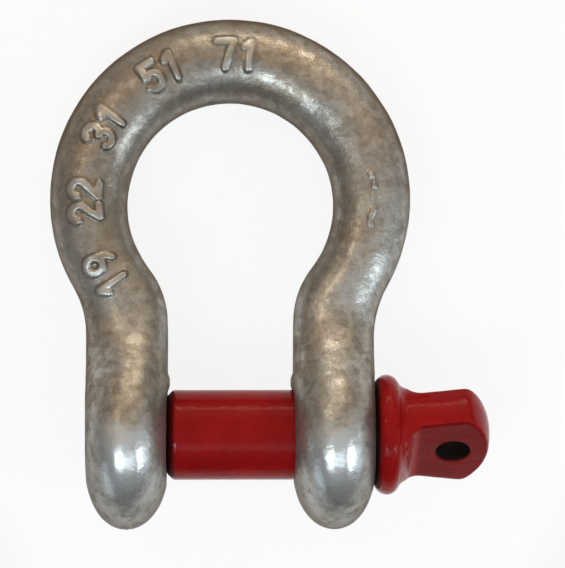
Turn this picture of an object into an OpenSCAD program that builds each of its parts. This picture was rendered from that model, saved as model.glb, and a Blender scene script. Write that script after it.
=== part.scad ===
// Screw-pin bow shackle, lying at rest. Millimetres.
// The origin is on the pin's axis, midway between the ears. +X runs along the pin towards its head,
// +Y from the pin towards the crown of the bow, +Z up. The bow leans down from the pin to its crown,
// so that both ears and the crown rest on the same floor.

/* [Bow] */
// clear width of the jaw, between the inner faces of the ears
jaw_w = 30.6; // [26:0.1:36]
// clear length from the pin to the inside of the crown
inside_l = 71.3; // [66:0.1:80]
// inside width of the bow at its widest
eye_d = 50.7; // [46:0.1:56]
// thickness of the bar at the sides of the bow, in the plane of the bow
bar_t = 19.6; // [17:0.1:21]
// thickness of the bar across the plane of the bow
bar_depth = 19.2; // [16:0.1:20]
// diameter of the thicker bar at the crown
crown_d = 21.2; // [20:0.1:24]
// thickness of a leg and its ear, along the pin
leg_t = 20.6; // [18:0.1:24]
// radius of the bend from the bow into a leg, on the inside
bend_in_r = 21.6; // [16:0.1:28]
// radius of the bend from the bow into a leg, on the outside
bend_out_r = 26; // [18:0.1:30]

/* [Ears] */
// diameter of an ear across its rim
ear_d = 47; // [44:0.1:54]
// diameter at which an ear's side starts to round off towards the rim
ear_side_d = 17.6; // [12:0.1:22]
// radius of the hollow where a leg widens into its ear
ear_hollow_r = 16; // [10:0.1:22]
// width of the flat bearing faces inside the jaw, round the pin holes
bearing_w = 1; // [0.8:0.1:3]
// depth of the flat bearing faces below the side of the ear
bearing_depth = 0.5; // [0.3:0.05:0.9]
// width of the collar's seat beyond the rim of the collar
seat_margin = 0.4; // [0.2:0.1:1.5]
// width of the broken edge at the mouths of the pin holes
mouth_chamfer = 0.6; // [0.3:0.1:1]

/* [Screw pin] */
// diameter of the shank
pin_d = 22.2; // [20.5:0.1:23.5]
// diameter of the threaded end over its crests
thread_d = 20; // [17:0.1:20]
// bevel on the shank where the thread begins
shank_chamfer = 1.6; // [0.5:0.1:2.5]
// bevel on the tip of the threaded end
tip_chamfer = 1.8; // [0.5:0.1:3]
// diameter of the groove between the thread and the shank
relief_d = 16.6; // [14:0.1:16.8]
// width of the groove between the thread and the shank
relief_w = 2.4; // [1:0.1:4]
// diameter of the collar
collar_d = 29.6; // [28:0.1:33]
// thickness of the collar
collar_t = 6.2; // [5:0.1:8]

/* [Eye head] */
// angle of the flat head above the floor, about the pin
head_turn = 49; // [0:1:90]
// length of the head beyond the collar
head_l = 22.4; // [20:0.1:28]
// diameter of the round head at its neck
head_neck_d = 22.8; // [20:0.1:23.4]
// diameter of the round head at its outer corner
head_d = 28; // [25:0.1:29]
// thickness of the head between its two flats
head_t = 10; // [9.2:0.1:12]
// length of the neck, from the collar to where the flats begin
neck_l = 4.4; // [4.2:0.1:6]
// radius of the hollow in which each flat runs out to the neck
run_out_r = 7.4; // [5:0.1:10]
// angle of the crease where the hollow meets the flat
run_out_crease = 30; // [0:1:60]
// radius of the rounded end of the head
head_end_r = 19.5; // [16:0.1:24]
// diameter of the eye in the head
head_eye_d = 8.3; // [6:0.1:9]
// distance from the middle of the eye to the end of the head
head_eye_end = 9.2; // [8.5:0.1:11]

/* [Clearances] */
// free play of the shank in the plain ear, on the diameter
pin_play = 1.2; // [0.8:0.1:1.6]
// free play of the thread in the tapped ear, on the diameter
thread_play = 0.4; // [0.3:0.05:0.6]
// gap left under the collar and in front of the shank's shoulder
seat_gap = 0.1; // [0.05:0.05:0.3]

/* [Smoothness] */
// points round the bar
bar_points = 48; // [32:8:48]

/* [Hidden] */
$fn = 96;

pin_r = pin_d / 2;
ear_r = ear_d / 2;
ear_side_r = ear_side_d / 2;
leg_x = (jaw_w + leg_t) / 2;
leg_out = jaw_w / 2 + leg_t;

// middles of the two round outlines of the bow; the outer one sits higher, which thickens the crown
eye_r = eye_d / 2;
eye_y = pin_r + inside_l - eye_r;
rim_r = eye_r + bar_t;
rim_y = eye_y + crown_d - bar_t;
crown_y = eye_y + eye_r + crown_d / 2;

// bends from the bow into the legs: their middles, and the angles at which they leave the round outlines
bend_in_x = jaw_w / 2 + bend_in_r;
bend_in_drop = sqrt(pow(eye_r + bend_in_r, 2) - pow(bend_in_x, 2));
bend_in_turn = atan2(bend_in_drop, bend_in_x);
bend_out_x = leg_out + bend_out_r;
bend_out_drop = sqrt(pow(rim_r + bend_out_r, 2) - pow(bend_out_x, 2));
bend_out_turn = atan2(bend_out_drop, bend_out_x);

// hollow between a leg and its ear, in the side view
bar_half = bar_depth / 2;
hollow_z = bar_half + ear_hollow_r;
hollow_y = sqrt(pow(ear_r + ear_hollow_r, 2) - pow(hollow_z, 2));
hollow_end_y = hollow_y * ear_r / (ear_r + ear_hollow_r);

// lean of the bow at rest on its ears and crown
rest_lean = asin((ear_r - crown_d / 2) / crown_y);

// pin holes and bearing faces
plain_hole_d = pin_d + pin_play;
tapped_hole_d = thread_d + thread_play;
inner_face_x = jaw_w / 2 + bearing_depth;
outer_face_x = leg_out - bearing_depth;
bearing_d = plain_hole_d + 2 * bearing_w;
seat_d = collar_d + 2 * seat_margin;
face_cut = 6;
hole_run = 2;

// stations along the pin
tip_x = -outer_face_x;
shoulder_x = seat_gap - inner_face_x;
collar_x = outer_face_x + seat_gap;
head_x = collar_x + collar_t;
head_end_x = head_x + head_l;
head_round_x = head_end_x - head_end_r;
corner_x = head_round_x + sqrt(pow(head_end_r, 2) - pow(head_d / 2, 2));
head_flare = (head_d - head_neck_d) / 2 / (corner_x - head_x);
head_root_x = head_x - collar_t / 2;
neck_end_x = head_x + neck_l;
head_eye_x = head_end_x - head_eye_end;

// middle of the hollow at the start of a flat
run_out_x = neck_end_x + run_out_r * sin(run_out_crease);
run_out_z = head_t / 2 + run_out_r * cos(run_out_crease);

// numbers of sections along each stretch
bow_steps = 26;
bend_steps = 9;
leg_steps = 9;
ear_steps = 9;

function lerp(a, b, t) = a + (b - a) * t;
function clamp01(t) = min(max(t, 0), 1);
function ease(t) = let (c = clamp01(t)) c * c * (3 - 2 * c);
function on_arc(x, y, r, turn) = [x + r * cos(turn), y + r * sin(turn)];
function round_off(t) = sqrt(max(0, 1 - pow(max(0, t), 2)));

// right-hand outlines of the bow: 0 at the crown, 1 at the bend's start, 2 at the leg's start, 3 at the pin
function inner_edge(t) =
    t <= 1 ? on_arc(0, eye_y, eye_r, lerp(90, -bend_in_turn, t)) :
    t <= 2 ? on_arc(bend_in_x, eye_y - bend_in_drop, bend_in_r, lerp(180 - bend_in_turn, 180, t - 1)) :
    [jaw_w / 2, lerp(eye_y - bend_in_drop, 0, t - 2)];
function outer_edge(t) =
    t <= 1 ? on_arc(0, rim_y, rim_r, lerp(90, -bend_out_turn, t)) :
    t <= 2 ? on_arc(bend_out_x, rim_y - bend_out_drop, bend_out_r, lerp(180 - bend_out_turn, 180, t - 1)) :
    [leg_out, lerp(rim_y - bend_out_drop, 0, t - 2)];

// half depth of the bar across the plane of the bow: full at the crown, widening along the legs to the ears
function leg_half(y) =
    y >= hollow_y ? bar_half :
    y >= hollow_end_y ? hollow_z - sqrt(pow(ear_hollow_r, 2) - pow(hollow_y - y, 2)) :
    sqrt(pow(ear_r, 2) - pow(y, 2));
function half_depth(t, y) = t <= 1 ? lerp(crown_d / 2, bar_half, ease(t)) : leg_half(y);

// side of an ear: full thickness near the pin, rounding off to nothing at the rim
function ear_side(r) = round_off((r - ear_side_r) / (ear_r - ear_side_r));

function bar_ring(t) =
    let (
        a = inner_edge(t),
        b = outer_edge(t),
        mid = (a + b) / 2,
        half = (b - a) / 2,
        depth = half_depth(t, mid.y),
        ear_like = t <= 1 ? 0 : 1 - ease(mid.y / hollow_y)
    )
    [for (i = [0 : bar_points - 1])
        let (
            turn = 360 * i / bar_points,
            side = sign(cos(turn)) * lerp(abs(cos(turn)), ear_side(ear_r * abs(sin(turn))), ear_like)
        )
        [mid.x + half.x * side, mid.y + half.y * side, depth * sin(turn)]];

function ear_ring(dip) =
    [for (i = [0 : bar_points - 1])
        let (
            turn = 360 * i / bar_points,
            y = -ear_r * sin(dip),
            z = ear_r * cos(dip) * sin(turn),
            side = sign(cos(turn)) * ear_side(norm([y, z]))
        )
        [leg_x + leg_t / 2 * side, y, z]];

function mirrored(ring) = [for (p = ring) [-p.x, p.y, p.z]];

function head_r(x) = head_neck_d / 2 + head_flare * (x - head_x);

// closed skin over a row of rings with the same number of points; each end closes on one point
module skin(rings, first, last) {
    n = len(rings[0]);
    m = len(rings);
    points = [first, for (ring = rings) for (p = ring) p, last];
    sides = [for (k = [0 : m - 2]) for (i = [0 : n - 1])
        let (a = 1 + k * n + i, b = 1 + k * n + (i + 1) % n)
        each [[a, a + n, b + n], [a, b + n, b]]];
    start = [for (i = [0 : n - 1]) [0, 1 + i, 1 + (i + 1) % n]];
    end = [for (i = [0 : n - 1]) [1 + m * n, 1 + (m - 1) * n + (i + 1) % n, 1 + (m - 1) * n + i]];
    polyhedron(points = points, faces = concat(start, sides, end), convexity = 6);
}

// crown, bends, legs and ears as one forging
module bow_forging() {
    half = concat(
        [for (k = [1 : bow_steps]) bar_ring(k / bow_steps)],
        [for (k = [1 : bend_steps]) bar_ring(1 + k / bend_steps)],
        [for (k = [1 : leg_steps]) bar_ring(2 + k / leg_steps)],
        [for (k = [1 : ear_steps - 1]) ear_ring(90 * k / ear_steps)]
    );
    count = len(half);
    left = [for (k = [count - 1 : -1 : 0]) mirrored(half[k])];
    skin(concat(left, [bar_ring(0)], half), [-leg_x, -ear_r, 0], [leg_x, -ear_r, 0]);
}

// pin hole along X with bevelled mouths, from the inner bearing face of an ear to the outer one
module pin_hole(d) {
    rotate([0, 90, 0]) {
        translate([0, 0, inner_face_x - hole_run])
            cylinder(d = d, h = outer_face_x - inner_face_x + 2 * hole_run);
        translate([0, 0, inner_face_x])
            cylinder(d1 = d + 2 * mouth_chamfer, d2 = d, h = mouth_chamfer);
        translate([0, 0, outer_face_x - mouth_chamfer])
            cylinder(d1 = d, d2 = d + 2 * mouth_chamfer, h = mouth_chamfer);
    }
}

// material taken off the inner side of an ear to leave a flat bearing face
module bearing_cut() {
    translate([inner_face_x - face_cut, 0, 0])
        rotate([0, 90, 0])
            cylinder(d = bearing_d, h = face_cut);
}

// material taken off the outer side of an ear to leave a flat face, on the plain ear the collar's seat
module outer_cut(d) {
    translate([outer_face_x, 0, 0])
        rotate([0, 90, 0])
            cylinder(d = d, h = face_cut);
}

module bow() {
    color("lightsteelblue")
        rotate([-rest_lean, 0, 0])
            difference() {
                bow_forging();
                pin_hole(plain_hole_d);
                bearing_cut();
                outer_cut(seat_d);
                mirror([1, 0, 0]) {
                    pin_hole(tapped_hole_d);
                    bearing_cut();
                    outer_cut(bearing_d);
                }
            }
}

// outline of the round head: widening from the neck inside the collar, closed by the rounded end
module head_outline() {
    intersection() {
        polygon([
            [0, head_root_x],
            [head_r(head_root_x), head_root_x],
            [head_r(head_end_x), head_end_x],
            [0, head_end_x]
        ]);
        translate([0, head_round_x])
            circle(r = head_end_r);
    }
}

// round body of the pin: threaded end, groove, shank, collar and head
module pin_body() {
    thread_r = thread_d / 2;
    collar_r = collar_d / 2;
    rotate([0, 90, 0])
        rotate_extrude() {
            polygon([
                [0, tip_x],
                [thread_r - tip_chamfer, tip_x],
                [thread_r, tip_x + tip_chamfer],
                [thread_r, shoulder_x - relief_w],
                [relief_d / 2, shoulder_x - relief_w],
                [relief_d / 2, shoulder_x],
                [pin_r - shank_chamfer, shoulder_x],
                [pin_r, shoulder_x + shank_chamfer],
                [pin_r, collar_x],
                [collar_r - collar_t / 2, collar_x],
                [collar_r - collar_t / 2, head_x],
                [0, head_x]
            ]);
            translate([collar_r - collar_t / 2, collar_x + collar_t / 2])
                circle(d = collar_t);
            head_outline();
        }
}

// material taken off one side of the round head to leave a flat that runs out in a hollow at the neck
module flat_cut() {
    intersection() {
        translate([head_x, -head_d, head_t / 2])
            cube([2 * head_l, 2 * head_d, head_d]);
        union() {
            translate([run_out_x, -head_d, 0])
                cube([2 * head_l, 2 * head_d, head_d]);
            translate([run_out_x - run_out_r, -head_d, run_out_z])
                cube([2 * head_l, 2 * head_d, head_d]);
            translate([run_out_x, head_d, run_out_z])
                rotate([90, 0, 0])
                    cylinder(r = run_out_r, h = 2 * head_d);
        }
    }
}

module screw_pin() {
    color("firebrick")
        rotate([head_turn, 0, 0])
            difference() {
                pin_body();
                flat_cut();
                mirror([0, 0, 1])
                    flat_cut();
                translate([head_eye_x, 0, -pin_r])
                    cylinder(d = head_eye_d, h = pin_d);
            }
}

bow();
screw_pin();
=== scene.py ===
"""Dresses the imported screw-pin bow shackle: galvanised forging, red painted pin, floor, light and camera."""

import math

import bpy
import numpy as np
from mathutils import Matrix, Vector, noise


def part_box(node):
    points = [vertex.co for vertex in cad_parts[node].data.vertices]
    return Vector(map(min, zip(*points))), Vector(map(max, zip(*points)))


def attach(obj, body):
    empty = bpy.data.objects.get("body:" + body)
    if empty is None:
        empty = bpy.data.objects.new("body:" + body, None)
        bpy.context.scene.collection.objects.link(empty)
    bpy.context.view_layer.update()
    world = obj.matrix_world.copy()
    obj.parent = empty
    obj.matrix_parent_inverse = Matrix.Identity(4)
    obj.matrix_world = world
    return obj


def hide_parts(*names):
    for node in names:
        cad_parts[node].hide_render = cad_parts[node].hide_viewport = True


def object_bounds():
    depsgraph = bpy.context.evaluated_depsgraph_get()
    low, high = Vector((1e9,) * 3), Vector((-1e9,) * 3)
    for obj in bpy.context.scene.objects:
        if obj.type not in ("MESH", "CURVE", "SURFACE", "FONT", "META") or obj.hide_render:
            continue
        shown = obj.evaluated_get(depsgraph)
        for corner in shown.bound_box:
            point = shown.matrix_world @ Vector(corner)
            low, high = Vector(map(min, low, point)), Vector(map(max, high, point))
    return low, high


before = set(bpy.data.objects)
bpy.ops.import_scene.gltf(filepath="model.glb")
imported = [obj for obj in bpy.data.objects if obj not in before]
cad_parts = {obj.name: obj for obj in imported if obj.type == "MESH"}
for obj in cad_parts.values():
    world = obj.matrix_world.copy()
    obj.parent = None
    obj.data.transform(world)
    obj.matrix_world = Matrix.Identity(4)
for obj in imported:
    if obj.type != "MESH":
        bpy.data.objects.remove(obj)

cad_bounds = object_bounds()
MM = 0.001

# Sizes in millimetres and angles in radians, the same as in the CAD model
JAW_W, INSIDE_L, EYE_D = 30.6, 71.3, 50.7
BAR_T, BAR_DEPTH, CROWN_D, LEG_T = 19.6, 19.2, 21.2, 20.6
BEND_IN_R, BEND_OUT_R = 21.6, 26.0
EAR_D, EAR_SIDE_D, EAR_HOLLOW_R = 47.0, 17.6, 16.0
BEARING_W, BEARING_DEPTH, SEAT_MARGIN, MOUTH_CHAMFER = 1.0, 0.5, 0.4, 0.6
PIN_D, THREAD_D, SHANK_CHAMFER, TIP_CHAMFER = 22.2, 20.0, 1.6, 1.8
RELIEF_D, RELIEF_W, COLLAR_D, COLLAR_T = 16.6, 2.4, 29.6, 6.2
HEAD_TURN, HEAD_L, HEAD_NECK_D, HEAD_D, HEAD_T = math.radians(49.0), 22.4, 22.8, 28.0, 10.0
NECK_L, RUN_OUT_R, RUN_OUT_CREASE, HEAD_END_R = 4.4, 7.4, math.radians(30.0), 19.5
HEAD_EYE_D, HEAD_EYE_END = 8.3, 9.2
PIN_PLAY, THREAD_PLAY, SEAT_GAP = 1.2, 0.4, 0.1

# Sizes in millimetres of the detail that only the visual model carries
PITCH, THREAD_DEPTH, THREAD_GAP, THREAD_LEAD, SHANK_LEAD = 2.5, 1.1, 0.1, 0.4, 1.0
EDGE_SOFT, CORNER_SOFT, EYE_LIP, RUN_OUT_SOFT, BEVEL_SOFT = 1.3, 1.6, 0.5, 1.6, 0.25
FILLET_TURN, FILLET_L = math.radians(62), 2.1
LEG_BLEND, LEG_BLEND_Y, LEG_BLEND_L = 4.5, 4.0, 8.0
FLASH_CUT, FLASH_REACH, FLASH_SOFT = 0.14, 1.5, 0.5
LIP_RAISE, LIP_Y, LIP_BACK, LIP_SOFT = 0.5, 13.1, 5.0, (4.0, 1.9, 5.0)
CUTTER_END, EYE_CUTTER_END = 6.0, 3.0

PIN_R, EAR_R, EYE_R = PIN_D / 2, EAR_D / 2, EYE_D / 2
LEG_X, LEG_OUT = (JAW_W + LEG_T) / 2, JAW_W / 2 + LEG_T
LIP_REACH = (LEG_X - LIP_BACK, 2.5, 11.0)
EYE_Y = PIN_R + INSIDE_L - EYE_R
RIM_R, RIM_Y = EYE_R + BAR_T, EYE_Y + CROWN_D - BAR_T
CROWN_Y = EYE_Y + EYE_R + CROWN_D / 2
BEND_IN_X, BEND_OUT_X = JAW_W / 2 + BEND_IN_R, LEG_OUT + BEND_OUT_R
BEND_IN_DROP = math.sqrt((EYE_R + BEND_IN_R) ** 2 - BEND_IN_X**2)
BEND_OUT_DROP = math.sqrt((RIM_R + BEND_OUT_R) ** 2 - BEND_OUT_X**2)
BEND_IN_TURN = math.degrees(math.atan2(BEND_IN_DROP, BEND_IN_X))
BEND_OUT_TURN = math.degrees(math.atan2(BEND_OUT_DROP, BEND_OUT_X))
HOLLOW_Z = BAR_DEPTH / 2 + EAR_HOLLOW_R
HOLLOW_Y = math.sqrt((EAR_R + EAR_HOLLOW_R) ** 2 - HOLLOW_Z**2)
HOLLOW_END_Y = HOLLOW_Y * EAR_R / (EAR_R + EAR_HOLLOW_R)
REST_LEAN = math.asin((EAR_R - CROWN_D / 2) / CROWN_Y)
INNER_FACE_X, OUTER_FACE_X = JAW_W / 2 + BEARING_DEPTH, LEG_OUT - BEARING_DEPTH
PLAIN_HOLE_R, TAPPED_HOLE_R = (PIN_D + PIN_PLAY) / 2, (THREAD_D + THREAD_PLAY) / 2
BEARING_R, SEAT_R = PLAIN_HOLE_R + BEARING_W, COLLAR_D / 2 + SEAT_MARGIN
TIP_X, SHOULDER_X, COLLAR_X = -OUTER_FACE_X, SEAT_GAP - INNER_FACE_X, OUTER_FACE_X + SEAT_GAP
THREAD_END_X = SHOULDER_X - RELIEF_W
HEAD_X = COLLAR_X + COLLAR_T
HEAD_END_X, NECK_END_X = HEAD_X + HEAD_L, HEAD_X + NECK_L
HEAD_ROUND_X = HEAD_END_X - HEAD_END_R
CORNER_TURN = math.acos(HEAD_D / 2 / HEAD_END_R)
CORNER_X = HEAD_ROUND_X + HEAD_END_R * math.sin(CORNER_TURN)
HEAD_FLARE = (HEAD_D - HEAD_NECK_D) / 2 / (CORNER_X - HEAD_X)
HEAD_EYE_X, HEAD_EYE_R = HEAD_END_X - HEAD_EYE_END, HEAD_EYE_D / 2
RUN_OUT_X = NECK_END_X + RUN_OUT_R * math.sin(RUN_OUT_CREASE)
RUN_OUT_Z = HEAD_T / 2 + RUN_OUT_R * math.cos(RUN_OUT_CREASE)
UNCUT_Z = RUN_OUT_Z + 1.2 * EDGE_SOFT
COLLAR_RIM_X, COLLAR_RIM_R = COLLAR_X + COLLAR_T / 2, COLLAR_D / 2 - COLLAR_T / 2
FILLET_X = COLLAR_RIM_X + COLLAR_T / 2 * math.sin(FILLET_TURN)
FILLET_R = COLLAR_RIM_R + COLLAR_T / 2 * math.cos(FILLET_TURN)
FILLET_RISE = FILLET_R - HEAD_NECK_D / 2 - HEAD_FLARE * (FILLET_X - HEAD_X)


def mix(a, b, t):
    return a + (b - a) * t


def clamp01(t):
    return np.clip(t, 0.0, 1.0)


def ease(t):
    c = clamp01(t)
    return c * c * (3 - 2 * c)


def fade(distance, reach, soft):
    """0 from the reach outwards, rising to 1 over a soft edge inside it."""
    return ease((reach - distance) / soft)


def round_off(t):
    return np.sqrt(np.maximum(0, 1 - np.maximum(0, t) ** 2))


def soft_min(a, b, soft):
    """The smaller of two values, rounded over where they meet."""
    h = np.maximum(soft - np.abs(a - b), 0) / soft
    return np.minimum(a, b) - h * h * soft / 4


def blurred(profile, at, reach):
    """Mean of a profile over a stretch to both sides of each place."""
    return np.mean([profile(at + reach * k) for k in np.linspace(-1, 1, 9)], axis=0)


def lumps(points, size, seed):
    """Smooth noise from -1 to 1 at each point, with lumps of the given size in millimetres."""
    shift = Vector((seed * 17.3, seed * 5.1, seed * 9.7))
    return np.array([noise.noise(Vector(p) / size + shift) for p in points])


def lumpy(points, *rows):
    """Height of a lumpy surface, from rows of lump height, size and seed."""
    return sum(height * lumps(points, size, seed) for height, size, seed in rows)


def full_turn(count):
    return np.linspace(0, 2 * np.pi, count, endpoint=False)


def columns(profile):
    """The two values at each point of a profile, as two columns."""
    return np.array(profile).T[:, :, None]


def rings_round_x(x, r, turn):
    """Rings of points round the X axis, from a column of places and the radius at each place and angle."""
    flat = np.zeros(len(turn))
    r = r + flat
    return np.stack([x + flat, r * np.cos(turn), r * np.sin(turn)], -1)


def grid_mesh(name, rings, first, last):
    """Closed mesh over a row of rings with the same number of points, closed at each end on one point."""
    m, n = rings.shape[:2]
    points = np.vstack([np.reshape(first, (1, 3)), rings.reshape(-1, 3), np.reshape(last, (1, 3))])
    i = np.arange(n)
    j = (i + 1) % n
    a = 1 + np.arange(m - 1)[:, None] * n
    quads = np.stack([a + i, a + j, a + n + j, a + n + i], -1).reshape(-1, 4)
    tail = 1 + (m - 1) * n
    caps = np.vstack([
        np.stack([np.zeros(n, int), 1 + j, 1 + i], -1),
        np.stack([np.full(n, 1 + m * n), tail + i, tail + j], -1),
    ])
    mesh = bpy.data.meshes.new(name)
    mesh.from_pydata(points.tolist(), [], quads.tolist() + caps.tolist())
    mesh.validate()
    return mesh


def add_object(name, data):
    obj = bpy.data.objects.new(name, data)
    bpy.context.scene.collection.objects.link(obj)
    return obj


def read_vectors(items, key):
    values = np.empty(len(items) * 3, np.float32)
    items.foreach_get(key, values)
    return values.reshape(-1, 3).astype(float)


def points_of(mesh):
    return read_vectors(mesh.vertices, "co")


def normals_of(mesh):
    return read_vectors(mesh.vertex_normals, "vector")


def put_points(mesh, points):
    mesh.vertices.foreach_set("co", np.asarray(points, np.float32).ravel())
    mesh.update()


def put_values(mesh, name, values):
    layer = mesh.attributes.new(name, "FLOAT", "POINT")
    layer.data.foreach_set("value", np.asarray(values, np.float32))


def ridges(mesh):
    """How far each point stands out from its neighbours: over 0.5 on a ridge, under 0.5 in a hollow."""
    points, normals = points_of(mesh), normals_of(mesh)
    ends = np.empty(len(mesh.edges) * 2, np.int32)
    mesh.edges.foreach_get("vertices", ends)
    a, b = ends.reshape(-1, 2).T
    away = points[b] - points[a]
    away /= np.maximum(np.linalg.norm(away, axis=1), 1e-12)[:, None]
    count = np.maximum(np.bincount(ends, minlength=len(points)), 1)
    lean = np.zeros(len(points))
    np.add.at(lean, a, np.sum(away * normals[a], axis=1))
    np.add.at(lean, b, -np.sum(away * normals[b], axis=1))
    sharp = np.arccos(np.clip(lean / count, -1, 1)) / np.pi
    total = sharp.copy()
    np.add.at(total, a, sharp[b])
    np.add.at(total, b, sharp[a])
    return total / (count + 1)


def cut(obj, cutter_mesh):
    """Takes the closed cutter out of the object's mesh."""
    cutter = add_object("cutter", cutter_mesh)
    step = obj.modifiers.new("cut", "BOOLEAN")
    step.operation = "DIFFERENCE"
    step.solver = "MANIFOLD"
    step.object = cutter
    graph = bpy.context.evaluated_depsgraph_get()
    made = bpy.data.meshes.new_from_object(obj.evaluated_get(graph))
    obj.modifiers.clear()
    old, obj.data = obj.data, made
    made.name = obj.name
    bpy.data.objects.remove(cutter)
    bpy.data.meshes.remove(cutter_mesh)
    bpy.data.meshes.remove(old)


def finish_piece(obj, body, node, material, sharp_deg):
    """Smooth shading with crisp machined edges, then the piece takes the place of its CAD node."""
    obj.data.shade_smooth()
    obj.data.set_sharp_from_angle(angle=math.radians(sharp_deg))
    obj.data.materials.clear()
    obj.data.materials.append(material)
    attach(obj, body)
    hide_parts(node)


def inside_box(points, node):
    """Keeps the points, in metres, inside the CAD node's own box."""
    low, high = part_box(node)
    return np.clip(points, np.array(low), np.array(high))


# The bow

# Points round the bar, and how much closer they lie over an angle in degrees at its front
BAR_POINTS, FRONT_EXTRA, FRONT_DEG = 128, 2.8, 34
# Rings along the bow, a bend, a leg and an ear, with more of them in the half that carries the numbers
PLAIN_HALF, MARKED_HALF = (120, 28, 48, 24), (290, 46, 48, 24)
HOLE_POINTS, HOLE_RINGS = 80, 65
# Steepness of the thread's flanks, and the level at which they begin on the pin and in the ear
THREAD_STEEP, PIN_THREAD_START, EAR_THREAD_START = 1.6, 1.25, 0.35
# Lumps of the forged and dipped surface: height, size in millimetres and seed
BOW_LUMPS, BOW_SINK = ((0.12, 15, 1), (0.075, 6, 2), (0.034, 2.4, 3)), 0.12
# Uneven wear of the raised numbers: mean share of their height, its swing, lump size, seed and limits
WEAR_MEAN, WEAR_SWING, WEAR_SIZE, WEAR_SEED, WEAR_LIMITS = 0.8, 0.6, 5, 4, (0.35, 1.1)


def on_arc(x, y, r, turn_deg):
    a = np.radians(turn_deg)
    return np.stack([x + r * np.cos(a), y + r * np.sin(a)], -1)


def outline(t, mid_y, r, bend_x, bend_drop, bend_r, bend_turn, leg_x):
    """One edge of the right half of the bow: 0 at the crown, 1 at the bend, 2 at the leg, 3 at the pin."""
    low_y = mid_y - bend_drop
    bow = on_arc(0, mid_y, r, mix(90, -bend_turn, clamp01(t)))
    bend = on_arc(bend_x, low_y, bend_r, mix(180 - bend_turn, 180, clamp01(t - 1)))
    leg = np.stack([np.full_like(t, leg_x), mix(low_y, 0, clamp01(t - 2))], -1)
    return np.where((t <= 1)[:, None], bow, np.where((t <= 2)[:, None], bend, leg))


def leg_profile(y):
    drop = np.clip(HOLLOW_Y - y, 0, EAR_HOLLOW_R)
    hollow = HOLLOW_Z - np.sqrt(np.maximum(EAR_HOLLOW_R**2 - drop**2, 0))
    ear = np.sqrt(np.maximum(EAR_R**2 - np.clip(y, 0, EAR_R) ** 2, 0))
    return np.where(y >= HOLLOW_Y, BAR_DEPTH / 2, np.where(y >= HOLLOW_END_Y, hollow, ear))


def leg_half(y):
    """Half depth of a leg, widening through a hollow to its ear, with the change of curve blended over."""
    return blurred(leg_profile, y, LEG_BLEND * ease((y - LEG_BLEND_Y) / LEG_BLEND_L))


def ear_side(r):
    return round_off((r - EAR_SIDE_D / 2) / (EAR_R - EAR_SIDE_D / 2))


def bar_rings(t, turn):
    a = outline(t, EYE_Y, EYE_R, BEND_IN_X, BEND_IN_DROP, BEND_IN_R, BEND_IN_TURN, JAW_W / 2)
    b = outline(t, RIM_Y, RIM_R, BEND_OUT_X, BEND_OUT_DROP, BEND_OUT_R, BEND_OUT_TURN, LEG_OUT)
    middle, half = (a + b) / 2, (b - a) / 2
    y = middle[:, 1]
    depth = np.where(t <= 1, mix(CROWN_D / 2, BAR_DEPTH / 2, ease(t)), leg_half(y))[:, None]
    ear_like = np.where(t <= 1, 0.0, 1 - ease(y / HOLLOW_Y))[:, None]
    c, s = np.cos(turn), np.sin(turn)
    side = np.sign(c) * mix(np.abs(c), ear_side(EAR_R * np.abs(s)), ear_like)
    return np.stack([middle[:, :1] + half[:, :1] * side, middle[:, 1:] + half[:, 1:] * side, depth * s], -1)


def ear_rings(dip, turn):
    y = np.broadcast_to(-EAR_R * np.sin(dip)[:, None], (len(dip), len(turn)))
    z = EAR_R * np.cos(dip)[:, None] * np.sin(turn)
    x = LEG_X + LEG_T / 2 * np.sign(np.cos(turn)) * ear_side(np.hypot(y, z))
    return np.stack([x, y, z], -1)


def half_bow(turn, steps):
    """Rings of the right half of the bow, from just beside the crown down to the tip of the ear."""
    t = np.concatenate([k + np.linspace(0, 1, n + 1)[1:] for k, n in enumerate(steps[:3])])
    dip = np.radians(np.linspace(0, 90, steps[3] + 1)[1:-1])
    return np.concatenate([bar_rings(t, turn), ear_rings(dip, turn)])


def bar_turn(count):
    """Angles round the section of the bar, closing up smoothly towards the front, where the numbers are."""
    fine = np.linspace(0, 360, 3601)
    share = np.cumsum(1 + FRONT_EXTRA * np.exp(-(((fine - 90) / FRONT_DEG) ** 2)))
    share = (share - share[0]) / (share[-1] - share[0])
    return np.radians(np.interp(np.arange(count) / count, share, fine))


def curve(cx, cy, rx, ry, start, end, steps=12):
    a = np.radians(np.linspace(start, end, steps))
    return np.stack([cx + rx * np.cos(a), cy + ry * np.sin(a)], -1)


# Plain numerals as strokes, in a box one unit tall
NUMERALS = {
    "1": [[(0.12, 0.80), (0.32, 1.0), (0.32, 0.0)]],
    "2": [np.vstack([curve(0.30, 0.72, 0.26, 0.28, 165, -35), [(0.04, 0.0), (0.58, 0.0)]])],
    "3": [np.vstack([curve(0.29, 0.76, 0.25, 0.24, 150, -80), curve(0.29, 0.27, 0.29, 0.27, 80, -150)])],
    "5": [np.vstack([
        [(0.54, 1.0), (0.10, 1.0), (0.07, 0.55)],
        curve(0.28, 0.31, 0.28, 0.31, 125, -150, 16),
    ])],
    "7": [[(0.02, 1.0), (0.58, 1.0), (0.24, 0.0)]],
    "9": [
        curve(0.30, 0.71, 0.26, 0.29, 0, 360, 20),
        np.vstack([[(0.56, 0.71)], curve(0.24, 0.62, 0.32, 0.62, 0, -75)]),
    ],
}
NUMERAL_ADVANCE, NUMERAL_MIDDLE, NUMERAL_REACH = 0.84, (0.3, 0.5), (0.8, 0.9)
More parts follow.
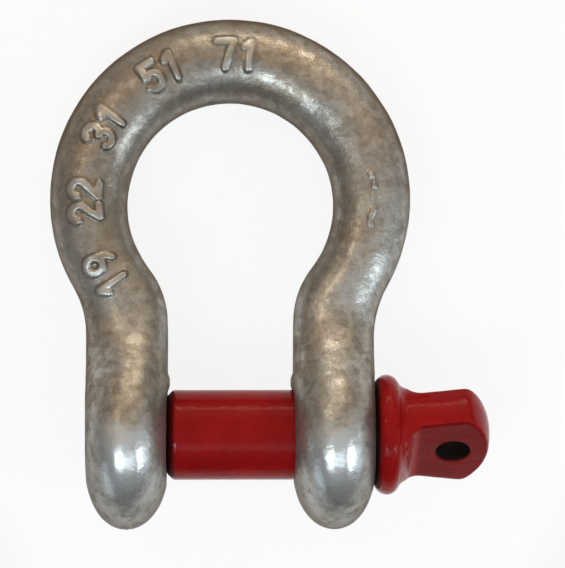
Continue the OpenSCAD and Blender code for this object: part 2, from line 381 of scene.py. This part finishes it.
# The part's own sizes in millimetres, as plain raised numbers: text and the angle where it starts
MARKS = [("19", 219.0), ("22", 189.0), ("31", 158.0), ("51", 126.0), ("71", 95.0)]
MARK_MIDDLE_Y = (EYE_Y + RIM_Y) / 2
MARK_TALL, MARK_STROKE, MARK_SLOPE, MARK_RAISE, MARK_FOOT, MARK_SHIFT = 6.8, 0.42, 1.0, 0.85, 0.6, 0.6
MARK_R = EYE_R + BAR_T / 2 + MARK_SHIFT
# Worn forging marks on the other side, and a soft lap at the bend: stroke, half width, slope and height
# in millimetres
SCARS = [
    ([(34.4, 63.9), (34.9, 63.2)], 0.30, 0.7, 0.50),
    ([(35.2, 61.5), (35.4, 60.9)], 0.25, 0.7, 0.45),
    ([(35.3, 58.8), (35.1, 58.4)], 0.20, 0.6, 0.35),
    ([(35.3, 55.3), (34.4, 53.4)], 0.25, 0.8, 0.50),
    ([(34.2, 52.0), (34.5, 51.5)], 0.30, 0.7, 0.45),
    ([(30.6, 46.4), (28.9, 41.8), (26.6, 37.4)], 0.1, 2.8, 0.30),
]


def stroke_gap(points, stroke):
    """Distance from each point to a line of straight strokes."""
    best = np.full(len(points), np.inf)
    stroke = np.asarray(stroke, float)
    for a, b in zip(stroke[:-1], stroke[1:]):
        d = b - a
        t = clamp01(((points - a) @ d) / max(d @ d, 1e-12))
        best = np.minimum(best, np.linalg.norm(points - a - t[:, None] * d, axis=1))
    return best


def raised_marks(points, wider=0.0):
    """Height of the numbers and worn marks on the front of the bow, with strokes so many millimetres wider."""
    x, y = points[:, 0], points[:, 1] - MARK_MIDDLE_Y
    angle, r = np.degrees(np.arctan2(y, x)) % 360, np.hypot(x, y)
    front = points[:, 2] > 0
    height = np.zeros(len(points))
    across = (r - MARK_R) / MARK_TALL + NUMERAL_MIDDLE[1]
    in_row = front & (np.abs(across - NUMERAL_MIDDLE[1]) < NUMERAL_REACH[1])
    for text, start in MARKS:
        for k, digit in enumerate(text):
            along = np.radians(start - angle) * MARK_R / MARK_TALL - k * NUMERAL_ADVANCE
            near = in_row & (np.abs(along - NUMERAL_MIDDLE[0]) < NUMERAL_REACH[0])
            spots = np.stack([along[near], across[near]], -1)
            for stroke in NUMERALS[digit]:
                gap = stroke_gap(spots, stroke) * MARK_TALL
                raised = MARK_RAISE * fade(gap, MARK_STROKE + wider + MARK_SLOPE, MARK_SLOPE)
                height[near] = np.maximum(height[near], raised)
    for stroke, half, slope, rise in SCARS:
        raised = rise * fade(stroke_gap(points[front][:, :2], stroke), half + wider + slope, slope)
        height[front] = np.maximum(height[front], raised)
    return height


def hole_lips(points):
    """Height of the low swelling that the pierced hole leaves on the inner side of each leg."""
    off = np.abs(points - (0, LIP_Y, 0))
    return LIP_RAISE * np.prod(fade(off, np.array(LIP_REACH), np.array(LIP_SOFT)), axis=1)


def helix(x, turn):
    """Right-hand screw line: 0 along the bottom of the groove, rising to 1 along the crest."""
    return np.abs(((x / PITCH - turn / (2 * np.pi)) % 1.0) * 2 - 1)


def ear_cutter(name, hole_r, outer_r, side, threaded):
    """Solid that leaves the flat faces and the bevelled hole of one ear, with a thread where it is tapped."""
    turn = full_turn(HOLE_POINTS)
    ends = INNER_FACE_X - CUTTER_END, OUTER_FACE_X + CUTTER_END
    wall = np.linspace(INNER_FACE_X, OUTER_FACE_X, HOLE_RINGS)
    bevel = np.maximum(INNER_FACE_X + MOUTH_CHAMFER - wall, wall - OUTER_FACE_X + MOUTH_CHAMFER)
    bore = hole_r + np.maximum(bevel, 0)[:, None] + np.zeros(len(turn))
    if threaded:
        groove = ease(THREAD_STEEP * helix(side * wall[:, None], turn) - EAR_THREAD_START)
        bore = np.maximum(bore, hole_r + (THREAD_DEPTH - THREAD_GAP) * groove)
    r = np.vstack([np.full((2, len(turn)), BEARING_R), bore, np.full((2, len(turn)), outer_r)])
    x = side * np.concatenate([[ends[0], INNER_FACE_X], wall, [OUTER_FACE_X, ends[1]]])
    rings = rings_round_x(x[:, None], r, turn)
    rings = rings if side > 0 else rings[:, ::-1]
    return grid_mesh(name, rings * MM, (x[0] * MM, 0, 0), (x[-1] * MM, 0, 0))


def leaned(points, angle):
    """The points turned about the pin's axis, with the crown going down."""
    c, s = math.cos(angle), math.sin(angle)
    x, y, z = points.T
    return np.stack([x, c * y + s * z, c * z - s * y], -1)


def make_bow(material):
    turn = bar_turn(BAR_POINTS)
    right = half_bow(turn, PLAIN_HALF)
    left = half_bow(turn, MARKED_HALF)[::-1] * np.array([-1, 1, 1])
    rings = np.concatenate([left, bar_rings(np.zeros(1), turn), right])
    mesh = grid_mesh("galvanised_bow", rings, (-LEG_X, -EAR_R, 0), (LEG_X, -EAR_R, 0))
    points, normals = points_of(mesh), normals_of(mesh)
    swell = lumpy(points, *BOW_LUMPS) - BOW_SINK
    trimmed = -FLASH_CUT * fade(np.abs(points[:, 2]), FLASH_REACH, FLASH_SOFT)
    worn = np.clip(WEAR_MEAN + WEAR_SWING * lumps(points, WEAR_SIZE, WEAR_SEED), *WEAR_LIMITS)
    points += normals * (swell + trimmed + hole_lips(points) + raised_marks(points) * worn)[:, None]
    put_points(mesh, inside_box(leaned(points, REST_LEAN) * MM, "bow"))
    bow = add_object("galvanised_bow", mesh)
    cut(bow, ear_cutter("plain_ear", PLAIN_HOLE_R, SEAT_R, 1, False))
    cut(bow, ear_cutter("tapped_ear", TAPPED_HOLE_R, BEARING_R, -1, True))
    upright = leaned(points_of(bow.data) / MM, -REST_LEAN)
    height = raised_marks(upright)
    put_values(bow.data, "mark_top", height / MARK_RAISE)
    put_values(bow.data, "mark_foot", (raised_marks(upright, MARK_FOOT) - height) / MARK_RAISE)
    finish_piece(bow, "shackle_body", "bow", material, sharp_deg=38)


# The screw pin

# Angles in degrees, in each quarter, between which the points round the pin lie closest, and the points
# before, between and after them
FINE_FROM, FINE_TO, QUARTER_POINTS = 17, 32, (10, 30, 31)
# Rings over the flat tip, the thread, the shank, the collar, the neck, the flats and the rounded end
TIP_RINGS, THREAD_RINGS, SHANK_RINGS, COLLAR_RINGS = 8, 101, 60, 25
NECK_RINGS, FLAT_RINGS, END_RINGS, END_TURN = 42, 36, 34, math.radians(87)
EYE_POINTS, EYE_LIP_RINGS = 72, 8
# Lumps of the forged head and of the paint: height, size in millimetres and seed
HEAD_LUMPS, HEAD_SINK = ((0.10, 9, 5), (0.05, 4, 6)), 0.06
PAINT_LUMPS, PAINT_SINK = (0.012, 1.6, 7), 0.012
# Where the forged surface takes over from the turned one, beyond the collar's face, in millimetres
FORGED_FROM, FORGED_SOFT = 1, 3


def pin_turn():
    """Angles round the pin, closest together where the edges of the head's flats run."""
    quarter = np.concatenate([
        np.linspace(0, FINE_FROM, QUARTER_POINTS[0], endpoint=False),
        np.linspace(FINE_FROM, FINE_TO, QUARTER_POINTS[1], endpoint=False),
        np.linspace(FINE_TO, 90, QUARTER_POINTS[2]),
    ])
    half = np.concatenate([quarter, 180 - quarter[-2::-1]])
    return np.radians(np.concatenate([half[:-1], 180 + half[:-1]]))


def thread_rings(turn):
    """Right-hand screw thread cut into the pin's end, running out at the tip's bevel and at the groove."""
    x = np.linspace(TIP_X + THREAD_LEAD, THREAD_END_X, THREAD_RINGS)[:, None]
    r = THREAD_D / 2 - THREAD_DEPTH * ease(PIN_THREAD_START - THREAD_STEEP * helix(x, turn))
    return rings_round_x(x, np.minimum(r, THREAD_D / 2 - TIP_CHAMFER + (x - TIP_X)), turn)


def run_out(x):
    """Half thickness of the head where its flats run out in a hollow towards the collar."""
    hollow = RUN_OUT_Z - np.sqrt(np.maximum(RUN_OUT_R**2 - (x - RUN_OUT_X) ** 2, 0))
    cut_part = np.where(x < NECK_END_X, np.maximum(hollow, HEAD_T / 2), HEAD_T / 2)
    return np.where(x < RUN_OUT_X - RUN_OUT_R, UNCUT_Z, cut_part)


def head_rings(stations, turn):
    """Round head that grows out of the collar and widens to its corner, with two softly blended flats."""
    blank = HEAD_NECK_D / 2 + HEAD_FLARE * (stations - HEAD_X)
    end = HEAD_END_R * round_off((stations - HEAD_ROUND_X) / HEAD_END_R)
    fillet = FILLET_RISE * (1 - clamp01((stations - FILLET_X) / FILLET_L)) ** 2
    r = soft_min(blank, end, CORNER_SOFT) + fillet
    flat = blurred(run_out, stations, RUN_OUT_SOFT)[:, None] / np.maximum(np.abs(np.sin(turn)), 1e-6)
    return rings_round_x(stations[:, None], soft_min(r[:, None], flat, EDGE_SOFT), turn)


def eye_cutter():
    """Solid for the eye of the head, with softly rounded mouths, lying along Z."""
    turn = full_turn(EYE_POINTS)
    reach, mouth_r = HEAD_T / 2, HEAD_EYE_R + EYE_LIP
    mouth = [(reach + EYE_CUTTER_END, mouth_r), (reach, mouth_r)]
    for b in np.radians(np.linspace(0, 90, EYE_LIP_RINGS))[1:]:
        mouth.append((reach - EYE_LIP * (1 - math.cos(b)), HEAD_EYE_R + EYE_LIP * (1 - math.sin(b))))
    z, r = columns(mouth + [(-z, r) for z, r in mouth[::-1]])
    rings = np.stack([HEAD_EYE_X + r * np.cos(turn), -r * np.sin(turn), z + np.zeros(len(turn))], -1)
    ends = [(HEAD_EYE_X * MM, 0, end * MM) for end in (z[0, 0], z[-1, 0])]
    return grid_mesh("eye", rings * MM, *ends)


def make_pin(material):
    turn = pin_turn()
    tip_r = THREAD_D / 2 - TIP_CHAMFER
    tip = [(TIP_X, k * tip_r / TIP_RINGS) for k in range(1, TIP_RINGS + 1)]
    groove = [(x, RELIEF_D / 2) for x in (THREAD_END_X, SHOULDER_X - RELIEF_W / 2, SHOULDER_X)]
    bevel_x, bevel_r = SHOULDER_X + SHANK_CHAMFER, PIN_R - SHANK_CHAMFER
    bevel = [
        (SHOULDER_X, bevel_r - BEVEL_SOFT),
        (SHOULDER_X + BEVEL_SOFT, bevel_r + BEVEL_SOFT),
        (bevel_x - BEVEL_SOFT, PIN_R - BEVEL_SOFT),
        (bevel_x + BEVEL_SOFT, PIN_R),
    ]
    shank = [(x, PIN_R) for x in np.linspace(bevel_x + SHANK_LEAD, COLLAR_X, SHANK_RINGS)]
    collar = [
        (COLLAR_RIM_X + COLLAR_T / 2 * math.sin(a), COLLAR_RIM_R + COLLAR_T / 2 * math.cos(a))
        for a in np.linspace(-math.pi / 2, FILLET_TURN, COLLAR_RINGS)
    ]
    stations = np.concatenate([
        np.linspace(FILLET_X, NECK_END_X, NECK_RINGS)[1:],
        np.linspace(NECK_END_X, CORNER_X, FLAT_RINGS)[1:],
        HEAD_ROUND_X + HEAD_END_R * np.sin(np.linspace(CORNER_TURN, END_TURN, END_RINGS)[1:]),
    ])
    rings = np.concatenate([
        rings_round_x(*columns(tip), turn),
        thread_rings(turn),
        rings_round_x(*columns(groove + bevel + shank + collar), turn),
        head_rings(stations, turn),
    ])
    mesh = grid_mesh("red_screw_pin", rings[:, ::-1], (TIP_X, 0, 0), (HEAD_END_X, 0, 0))
    points, normals = points_of(mesh), normals_of(mesh)
    forged = ease((points[:, 0] - COLLAR_X - FORGED_FROM) / FORGED_SOFT)
    swell = forged * (lumpy(points, *HEAD_LUMPS) - HEAD_SINK) + lumpy(points, PAINT_LUMPS) - PAINT_SINK
    put_points(mesh, (points + normals * swell[:, None]) * MM)
    pin = add_object("red_screw_pin", mesh)
    cut(pin, eye_cutter())
    mesh = pin.data
    mesh.transform(Matrix.Rotation(HEAD_TURN, 4, "X"))
    put_points(mesh, inside_box(points_of(mesh), "screw_pin"))
    put_values(mesh, "ridge", ridges(mesh))
    finish_piece(pin, "pin_body", "screw_pin", material, sharp_deg=40)


# Materials

# How far the borders of the zinc's crystals waver, as a share of their size
CRYSTAL_WAVER = 0.6


class Nodes:
    """Short calls for building the node tree of a material or of the world."""

    def __init__(self, owner, shader="Principled BSDF", place="Object"):
        owner.use_nodes = True
        self.owner = owner
        self.tree = owner.node_tree
        self.shader = self.tree.nodes[shader]
        self.coordinates = self.add("ShaderNodeTexCoord").outputs
        self.place = self.coordinates[place]

    def add(self, kind, **values):
        node = self.tree.nodes.new(kind)
        for key, value in values.items():
            setattr(node, key, value)
        return node

    def link(self, source, target):
        self.tree.links.new(source, target)

    def feed(self, socket, value):
        """Links a socket to another one, or sets it to a number or colour."""
        if isinstance(value, bpy.types.NodeSocket):
            self.link(value, socket)
        else:
            socket.default_value = value if isinstance(value, (int, float)) else (*value, 1.0)

    def attribute(self, name):
        return self.add("ShaderNodeAttribute", attribute_name=name).outputs["Fac"]

    def noise(self, scale, detail=3.0, roughness=0.5):
        node = self.add("ShaderNodeTexNoise")
        for key, number in (("Scale", scale), ("Detail", detail), ("Roughness", roughness)):
            node.inputs[key].default_value = number
        self.link(self.place, node.inputs["Vector"])
        return node.outputs["Fac"]

    def crystals(self, scale):
        """One even value for each crystal of the zinc, with wavering borders."""
        bent = self.add("ShaderNodeTexNoise")
        bent.inputs["Scale"].default_value = scale
        self.link(self.place, bent.inputs["Vector"])
        moved = self.add("ShaderNodeVectorMath", operation="MULTIPLY_ADD")
        self.link(bent.outputs["Color"], moved.inputs[0])
        moved.inputs[1].default_value = (CRYSTAL_WAVER / scale,) * 3
        self.link(self.place, moved.inputs[2])
        cells = self.add("ShaderNodeTexVoronoi")
        cells.inputs["Scale"].default_value = scale
        self.link(moved.outputs["Vector"], cells.inputs["Vector"])
        split = self.add("ShaderNodeSeparateColor")
        self.link(cells.outputs["Color"], split.inputs["Color"])
        return split.outputs["Red"]

    def vector(self, operation, a, b=None):
        node = self.add("ShaderNodeVectorMath", operation=operation)
        self.link(a, node.inputs[0])
        if b is not None:
            node.inputs[1].default_value = b
        return node.outputs["Value" if operation in ("LENGTH", "DOT_PRODUCT") else "Vector"]

    def axis(self, name, value):
        split = self.add("ShaderNodeSeparateXYZ")
        self.link(value, split.inputs["Vector"])
        return split.outputs[name]

    def spread(self, value, low, high, to_low=0.0, to_high=1.0, kind="LINEAR"):
        """Value carried over from one range to another, and held at its ends."""
        node = self.add("ShaderNodeMapRange", interpolation_type=kind)
        for key, number in zip(("From Min", "From Max", "To Min", "To Max"), (low, high, to_low, to_high)):
            node.inputs[key].default_value = number
        self.link(value, node.inputs["Value"])
        return node.outputs["Result"]

    def zone(self, length, none, full, share=1.0, kind="LINEAR"):
        """Share that grows from nothing to its whole between two lengths in millimetres."""
        return self.spread(length, none * MM, full * MM, 0, share, kind)

    def math(self, operation, a, b=0.0):
        node = self.add("ShaderNodeMath", operation=operation)
        self.feed(node.inputs[0], a)
        self.feed(node.inputs[1], b)
        return node.outputs[0]

    def times(self, a, b):
        return self.math("MULTIPLY", a, b)

    def ring(self, x, half, soft, share=1.0):
        """Share of a band round the X axis, full up to half its width from x, all in millimetres."""
        off = self.vector("ABSOLUTE", self.vector("SUBTRACT", self.place, (x * MM, 0, 0)))
        return self.zone(self.axis("X", off), half + soft, half, share)

    def in_plane(self, y):
        """Way from a point on the bow's middle line, y millimetres from the pin, in the plane of the bow."""
        return self.vector("MULTIPLY", self.vector("SUBTRACT", self.place, (0, y * MM, 0)), (1, 1, 0))

    def blend(self, share, a, b):
        node = self.add("ShaderNodeMix", data_type="RGBA")
        for key, value in (("Factor", share), (6, a), (7, b)):
            self.feed(node.inputs[key], value)
        return node.outputs[2]

    def bump(self, height, distance, strength=1.0, after=None):
        node = self.add("ShaderNodeBump")
        node.inputs["Distance"].default_value = distance
        node.inputs["Strength"].default_value = strength
        self.link(height, node.inputs["Height"])
        if after:
            self.link(after, node.inputs["Normal"])
        return node.outputs["Normal"]


ZINC, WARM_ZINC = (0.385, 0.37, 0.34), (0.34, 0.295, 0.235)
SILVER, WARM_SILVER = (0.53, 0.53, 0.515), (0.46, 0.44, 0.40)
DARK_ZINC, PALE_ZINC, SPECK = (0.17, 0.15, 0.125), (0.58, 0.57, 0.54), (0.15, 0.135, 0.115)
# Painted shade in tarnish tones, for the bow's outer rim and the panel round its numbers
BROWN_RIM_SHADE, GREY_MARK_SHADE = (0.16, 0.115, 0.075), (0.18, 0.14, 0.10)
# Bright tops of the numbers, rubbed and partly a painted highlight, and painted shade for their feet
MARK_RUBBED_HIGHLIGHT, MARK_FOOT_SHADE, POLISHED = (0.60, 0.59, 0.56), (0.10, 0.085, 0.065), (0.62, 0.63, 0.62)
ZINC_EDGE_TINT = (0.18, 0.155, 0.13)
TOWARDS_MARKS = (-0.82, 0.57, 0)


def zinc_painted_shade(n, base, y):
    """Painted shade in tarnish tones: darker zinc on the inside and outside of the bow and round the raised
    numbers.
    """
    inside = n.zone(n.vector("LENGTH", n.in_plane(EYE_Y)), EYE_R + 6, EYE_R + 1, 0.5)
    # Painted shade on the inner wall of the eye
    base = n.blend(inside, base, DARK_ZINC)
    outside = n.zone(n.vector("LENGTH", n.in_plane(RIM_Y)), RIM_R - 4.5, RIM_R - 1, 0.65)
    # Painted shade in a tarnish brown along the outer rim of the crown
    base = n.blend(n.times(outside, n.zone(y, 50, 75)), base, BROWN_RIM_SHADE)
    from_marks = n.in_plane(MARK_MIDDLE_Y)
    off_marks = n.math("SUBTRACT", n.vector("LENGTH", from_marks), MARK_R * MM)
    row = n.zone(n.math("ABSOLUTE", off_marks), 7.5, 4.5, 0.4)
    panel = n.math("MAXIMUM", row, n.zone(off_marks, 2, 7, 0.42))
    beside_marks = n.zone(n.vector("DOT_PRODUCT", from_marks, TOWARDS_MARKS), 4, 18)
    # Painted shade round the raised numbers
    return n.blend(n.times(panel, beside_marks), base, GREY_MARK_SHADE)


def mark_wear_and_painted_light(n, base):
    """Patchy bright tops on the raised numbers and worn marks, rubbed and partly a painted highlight, and
    painted shade at their feet.
    """
    patchy = n.spread(n.noise(150, 2, 0.6), 0.42, 0.62, 0.12, 0.62)
    # Painted highlight, partly rubbing, on the tops of the numbers
    base = n.blend(n.times(n.spread(n.attribute("mark_top"), 0.35, 0.95), patchy), base, MARK_RUBBED_HIGHLIGHT)
    # Painted shade at the feet of the numbers
    return n.blend(n.spread(n.attribute("mark_foot"), 0.15, 0.75, 0, 0.5), base, MARK_FOOT_SHADE)


def galvanised():
    """Dull hot-dip zinc: cool grey with warm, tarnished patches, a fine crystal mottle and a grainy skin."""
    n = Nodes(bpy.data.materials.new("galvanised_steel"))
    patches = n.spread(n.noise(60, 5, 0.62), 0.38, 0.62)
    wavering = n.spread(n.noise(90, 3, 0.6), 0.3, 0.7, -8 * MM, 8 * MM)
    y = n.math("ADD", n.axis("Y", n.place), wavering)
    bends = n.zone(n.math("ABSOLUTE", n.math("SUBTRACT", y, 38 * MM)), 16, 4, 0.45)
    silver = n.math("MAXIMUM", n.zone(y, 10, -4), bends)
    base = n.blend(silver, n.blend(patches, ZINC, WARM_ZINC), n.blend(patches, SILVER, WARM_SILVER))
    stains = n.spread(n.noise(380, 4, 0.7), 0.32, 0.68)
    mottle = n.math("ADD", n.times(stains, 0.6), n.times(n.crystals(430), 0.4))
    base = n.blend(n.spread(mottle, 0.1, 0.5, 0.6, 0), base, DARK_ZINC)
    base = n.blend(n.spread(mottle, 0.5, 0.9, 0, 0.6), base, PALE_ZINC)
    base = n.blend(n.spread(n.noise(1500, 2, 0.6), 0.60, 0.72, 0, 0.5), base, SPECK)
    # Painted shade on the bow's rims and round its numbers, then painted highlight and shade on the numbers
    base = mark_wear_and_painted_light(n, zinc_painted_shade(n, base, y))
    crest = n.zone(n.axis("Z", n.vector("ABSOLUTE", n.place)), 18, 22, kind="SMOOTHSTEP")
    rubbed = n.times(crest, n.zone(y, 7, -3, kind="SMOOTHSTEP"))
    n.link(n.blend(n.times(rubbed, 0.8), base, POLISHED), n.shader.inputs["Base Color"])
    n.shader.inputs["Metallic"].default_value = 0.85
    n.shader.inputs["Specular Tint"].default_value = (*ZINC_EDGE_TINT, 1)
    skin, smooth = n.spread(mottle, 0, 1, 0.44, 0.29), n.spread(mottle, 0, 1, 0.26, 0.18)
    n.link(n.blend(rubbed, skin, smooth), n.shader.inputs["Roughness"])
    calm = n.spread(rubbed, 0, 1, 1, 0.4)
    grain = n.bump(n.times(n.noise(900, 3, 0.6), calm), 0.3 * MM, 0.32)
    dimples = n.bump(n.times(n.noise(260, 3, 0.55), calm), 0.6 * MM, 0.28, grain)
    n.link(dimples, n.shader.inputs["Normal"])
    return n.owner


DEEP_RED, BRIGHT_RED, SHADED_RED = (0.22, 0.004, 0.0045), (0.295, 0.0065, 0.007), (0.11, 0.0025, 0.003)
# The last of these is painted shade, a darker red for hollows
BARE_STEEL, THIN_PAINT, HOLLOW_SHADE_RED = (0.30, 0.27, 0.24), (0.46, 0.05, 0.04), (0.05, 0.003, 0.004)
# Painted shade for the gaps at the collar and shoulder and inside the eye, and the eye's roughness
GAP_SHADE, EYE_SHADE, EYE_ROUGHNESS = (0.02, 0.003, 0.003), (0.012, 0.006, 0.005), (0.7, 0.7, 0.7)


def red_paint():
    """Deep gloss red over a forging: uneven colour, orange peel and rubbed edges, with painted shade in the
    hollows, on the head's flats, in the gaps at the collar and shoulder and inside the bare, rougher eye.
    """
    n = Nodes(bpy.data.materials.new("red_paint"))
    base = n.blend(n.spread(n.noise(70, 4, 0.6), 0.35, 0.65), DEEP_RED, BRIGHT_RED)
    ridge = n.attribute("ridge")
    rubbed = n.blend(n.spread(ridge, 0.50, 0.56, 0.05, 0.85), base, BARE_STEEL)
    base = n.blend(n.ring(TIP_X, THREAD_END_X - TIP_X, 0.2), base, rubbed)
    base = n.blend(n.spread(ridge, 0.53, 0.60, 0, 0.5), base, THIN_PAINT)
    # Painted shade: darker red where the surface lies in a hollow
    base = n.blend(n.spread(ridge, 0.48, 0.42, 0, 0.8), base, HOLLOW_SHADE_RED)
    eye_axis = (0, -math.sin(HEAD_TURN), math.cos(HEAD_TURN))
    facing = n.math("ABSOLUTE", n.vector("DOT_PRODUCT", n.coordinates["Normal"], eye_axis))
    # Painted shade: darker red on the head's two flats
    flats = n.times(n.spread(facing, 0.90, 0.97), n.ring(HEAD_END_X, HEAD_END_X - NECK_END_X, 0.5, 0.55))
    base = n.blend(flats, base, SHADED_RED)
    # Inside the eye: painted shade, on a rougher bare wall
    from_eye = n.vector("SUBTRACT", n.place, (HEAD_EYE_X * MM, 0, 0))
    off_axis = n.vector("LENGTH", n.vector("CROSS_PRODUCT", from_eye, eye_axis))
    shaded_bare_eye = n.zone(off_axis, HEAD_EYE_R + 0.4, HEAD_EYE_R + 0.1)
    base = n.blend(shaded_bare_eye, base, EYE_SHADE)
    # Painted shade in the gaps where the collar and the shoulder meet the ears
    base = n.blend(n.ring(COLLAR_X + 0.2, 0.6, 0.6, 0.92), base, GAP_SHADE)
    base = n.blend(n.ring(SHOULDER_X + 0.7, 0.8, 0.3, 0.8), base, GAP_SHADE)
    n.link(base, n.shader.inputs["Base Color"])
    gloss = n.spread(n.noise(300, 3, 0.6), 0.3, 0.7, 0.10, 0.22)
    n.link(n.blend(shaded_bare_eye, gloss, EYE_ROUGHNESS), n.shader.inputs["Roughness"])
    n.shader.inputs["Specular IOR Level"].default_value = 0.09
    n.link(n.bump(n.noise(620, 2, 0.5), 0.4 * MM, 0.2), n.shader.inputs["Normal"])
    return n.owner


# Floor, light and camera

TARGET = Vector((12.84, 37.40, 0)) * MM
CAMERA_BACK, CAMERA_LEAN, CAMERA_YAW = 0.70, math.radians(3.99), math.radians(1.45)
SENSOR, LENS, CLIP_START = 36.0, 179.9, 0.01

# The white paper: its middle beyond the target, its stretch along Y, and where it begins and ends to turn grey
FLOOR_HALF, PAPER_Y, PAPER_STRETCH, PAPER_EDGE = 4.0, 0.12, 0.45, (105, 220)
PAPER, GLOWING_PAPER, GREY_PAPER = (0.93, 0.93, 0.93), (1, 1, 1), (0.32, 0.315, 0.31)
# Share of the floor that shows as plain white paper, the rest taking the light and the object's shadow
FLOOR_GLOW = 0.86

COOL, WARM = (0.76, 0.90, 1.0), (1.0, 0.87, 0.68)
# Name, direction from the target, distance and size in metres, power in watts, colour
SOFTBOXES = [
    ("window_left", (-0.388, -0.44, 0.81), 0.65, (0.30, 0.20), 0.65, COOL),
    ("window_right", (0.80, -0.37, 0.48), 0.65, (0.28, 0.20), 0.48, COOL),
    ("window_middle", (0.18, -0.46, 0.87), 0.66, (0.55, 0.19), 0.50, COOL),
    ("window_low", (0.96, -0.22, 0.08), 0.65, (0.36, 0.22), 0.26, COOL),
    ("window_low_left", (-0.74, -0.66, 0.12), 0.65, (0.36, 0.22), 0.22, COOL),
    ("bulb_left", (-0.31, -0.39, 0.87), 0.64, (0.065, 0.06), 0.42, COOL),
    ("bulb_right", (0.75, -0.33, 0.56), 0.64, (0.06, 0.06), 0.36, COOL),
    ("lamp_upper_left", (-0.50, 0.45, 0.74), 0.65, (0.10, 0.10), 0.22, WARM),
    ("crown_side", (0.20, 0.92, 0.34), 0.75, (0.80, 0.50), 0.80, WARM),
    ("crown_strip", (0.12, 0.97, 0.21), 0.74, (0.56, 0.04), 0.68, WARM),
]
# The room's light: where it is brightest, its lowest and highest strength, and its colour towards the crown
BRIGHTEST, ROOM_STRENGTH = (0.10, 0.56, 0.82), (0.09, 0.74)
CROWNWARD, ROOM_COOL, ROOM_WARM = (-0.1, 1, 0), (0.95, 0.98, 1.0), (1.0, 0.80, 0.61)


def pale_floor():
    """White paper round the object, falling off softly to grey outside the picture."""
    n = Nodes(bpy.data.materials.new("pale_floor"))
    away = n.vector("SUBTRACT", n.place, (TARGET.x, TARGET.y + PAPER_Y, cad_bounds[0].z))
    away = n.vector("LENGTH", n.vector("MULTIPLY", away, (1, PAPER_STRETCH, 1)))
    outside = n.zone(away, *PAPER_EDGE)
    n.link(n.blend(outside, PAPER, GREY_PAPER), n.shader.inputs["Base Color"])
    n.shader.inputs["Roughness"].default_value = 0.9
    n.shader.inputs["Specular IOR Level"].default_value = 0.1
    ray = n.add("ShaderNodeLightPath").outputs
    seen = n.math("ADD", ray["Is Camera Ray"], ray["Is Glossy Ray"])
    seen = n.math("ADD", seen, ray["Is Transmission Ray"])
    glow = n.add("ShaderNodeEmission")
    n.link(n.blend(outside, GLOWING_PAPER, GREY_PAPER), glow.inputs["Color"])
    both = n.add("ShaderNodeMixShader")
    n.link(n.spread(seen, 0, 1, 0, FLOOR_GLOW), both.inputs[0])
    n.link(n.shader.outputs[0], both.inputs[1])
    n.link(glow.outputs[0], both.inputs[2])
    n.link(both.outputs[0], n.tree.nodes["Material Output"].inputs["Surface"])
    return n.owner


def make_floor():
    low = cad_bounds[0].z
    corners = [(x * FLOOR_HALF, y * FLOOR_HALF, low) for x, y in ((-1, -1), (1, -1), (1, 1), (-1, 1))]
    mesh = bpy.data.meshes.new("floor")
    mesh.from_pydata(corners, [], [(0, 1, 2, 3)])
    floor = add_object("floor", mesh)
    mesh.materials.append(pale_floor())


def aim(obj, distance, right, up, back):
    """Puts a lamp or the camera at a distance back from the target, looking at it."""
    turned = Matrix((right, up, back)).transposed().to_4x4()
    obj.matrix_world = Matrix.Translation(TARGET + back * distance) @ turned


def softbox(name, direction, distance, size, power, colour):
    lamp = bpy.data.lights.new(name, "AREA")
    lamp.shape = "RECTANGLE"
    lamp.size, lamp.size_y = size
    lamp.energy = power
    lamp.color = colour
    back = Vector(direction).normalized()
    right = (Vector((1, 0, 0)) - back * back.x).normalized()
    aim(add_object(name, lamp), distance, right, back.cross(right), back)


def make_light():
    for row in SOFTBOXES:
        softbox(*row)
    world = bpy.data.worlds.new("studio")
    n = Nodes(world, "Background", "Generated")
    level = n.spread(n.vector("DOT_PRODUCT", n.place, BRIGHTEST), -0.3, 1.0, *ROOM_STRENGTH)
    n.link(level, n.shader.inputs["Strength"])
    crownward = n.spread(n.vector("DOT_PRODUCT", n.place, CROWNWARD), -0.1, 0.35)
    n.link(n.blend(crownward, ROOM_COOL, ROOM_WARM), n.shader.inputs["Color"])
    bpy.context.scene.world = world


def make_camera():
    lens = bpy.data.cameras.new("camera")
    lens.sensor_fit = "VERTICAL"
    lens.sensor_height = SENSOR
    lens.lens = LENS
    lens.clip_start = CLIP_START
    camera = add_object("camera", lens)
    up = Vector((0, math.cos(CAMERA_LEAN), -math.sin(CAMERA_LEAN)))
    ahead = math.cos(CAMERA_YAW)
    back = Vector((-math.sin(CAMERA_YAW), math.sin(CAMERA_LEAN) * ahead, math.cos(CAMERA_LEAN) * ahead))
    aim(camera, CAMERA_BACK, up.cross(back), up, back)
    bpy.context.scene.camera = camera


make_bow(galvanised())
make_pin(red_paint())
make_floor()
make_light()
make_camera()
bpy.context.scene.view_settings.view_transform = "Standard"

bpy.context.view_layer.update()
